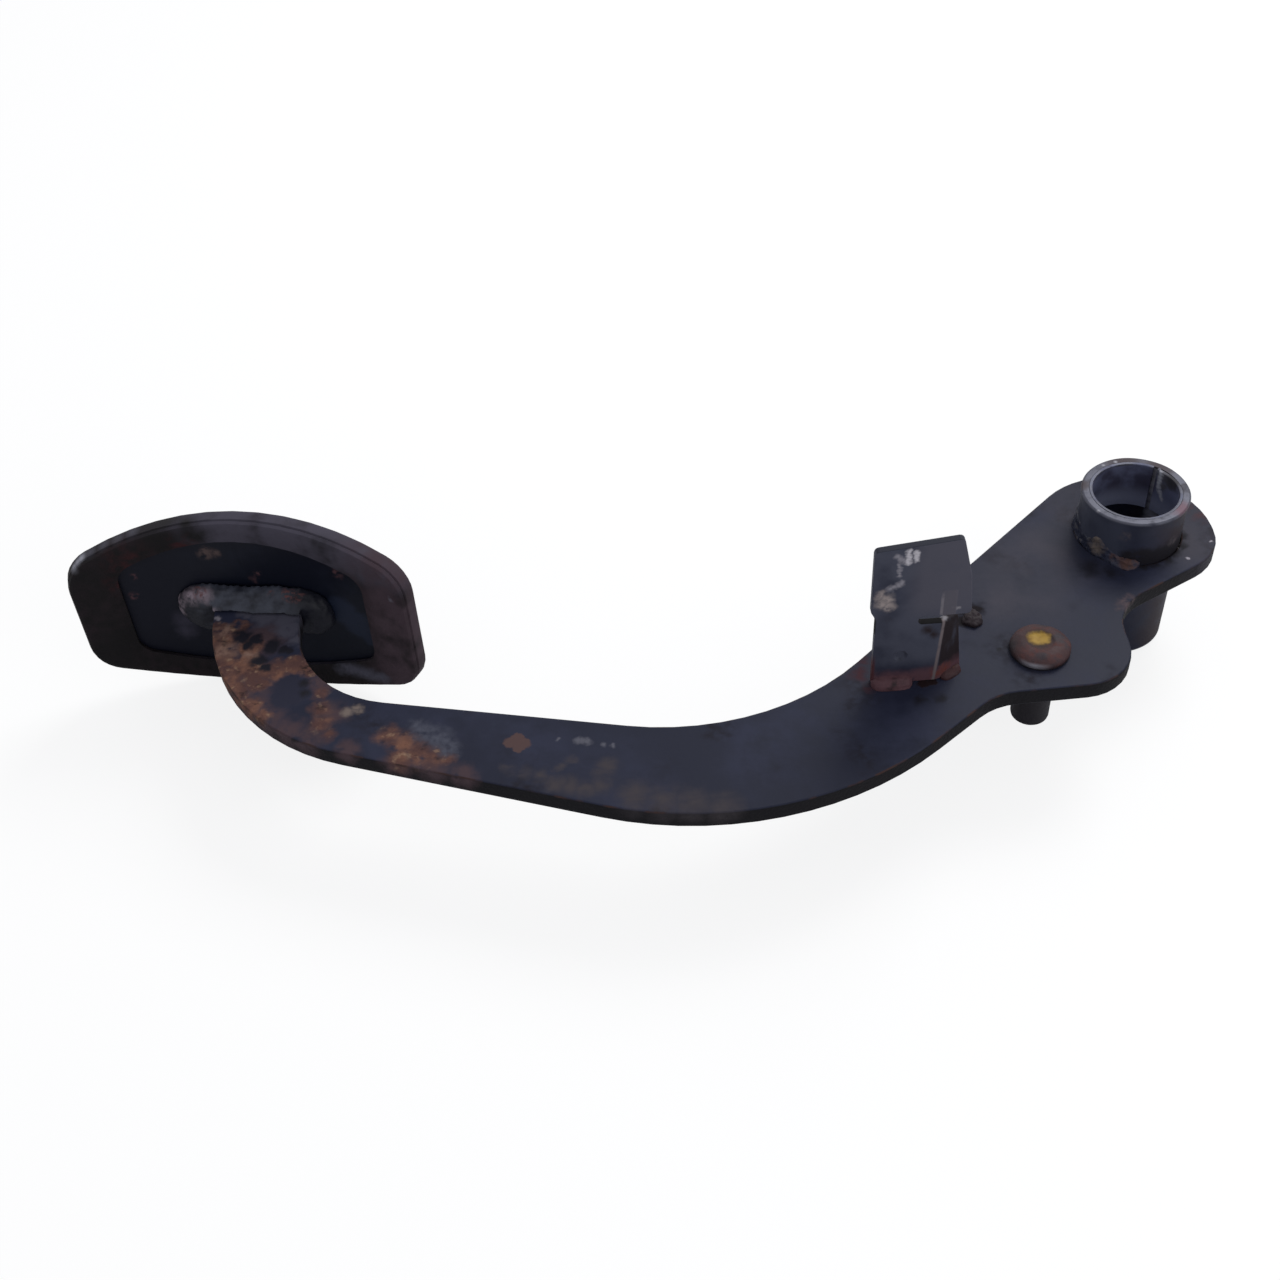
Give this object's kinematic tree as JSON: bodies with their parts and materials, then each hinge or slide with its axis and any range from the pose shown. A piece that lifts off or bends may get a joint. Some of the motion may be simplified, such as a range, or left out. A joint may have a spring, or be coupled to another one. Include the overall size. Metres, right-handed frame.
{
  "type": "brake pedal",
  "caption": "Brake pedal: swept flat steel arm with a bushed pivot tube, riveted pushrod pin, folded switch bracket and a curved pad plate in a rubber cover.",
  "frame": {"origin": "on the pivot axis, at the middle of the arm plate's thickness", "axes": "+Z along the pivot axis, towards the side that the pin's head and the switch bracket are on; the neck and the pad lie towards -X; +Y is the side that the foot presses"},
  "size_m": [0.3793, 0.1361, 0.0972],
  "materials": {
    "painted_steel": "dark blue-grey satin paint, faded, with rust and worn edges",
    "worn_steel": "bare steel, browned, with a dab of yellow marking paint in the dish of the head",
    "rusty_weld": "weld metal under thin paint, red-brown rust",
    "bush_lining": "rolled lined steel bush, dull grey, greasy",
    "pad_steel": "dark navy satin paint with a paler worn patch",
    "black_rubber": "moulded black rubber, dusty brown, scuffed"
  },
  "bodies": {
    "root": {"pedal_arm": "painted_steel", "pivot_tube": "painted_steel", "tube_weld": "painted_steel", "pivot_bush_upper": "bush_lining", "pivot_bush_lower": "bush_lining", "pushrod_pin": "worn_steel", "switch_bracket": "painted_steel", "bracket_weld_front": "rusty_weld", "bracket_weld_flange": "rusty_weld", "pad_plate": "pad_steel", "pad_rubber": "black_rubber", "pad_weld": "rusty_weld"}
  },
  "joints": []
}
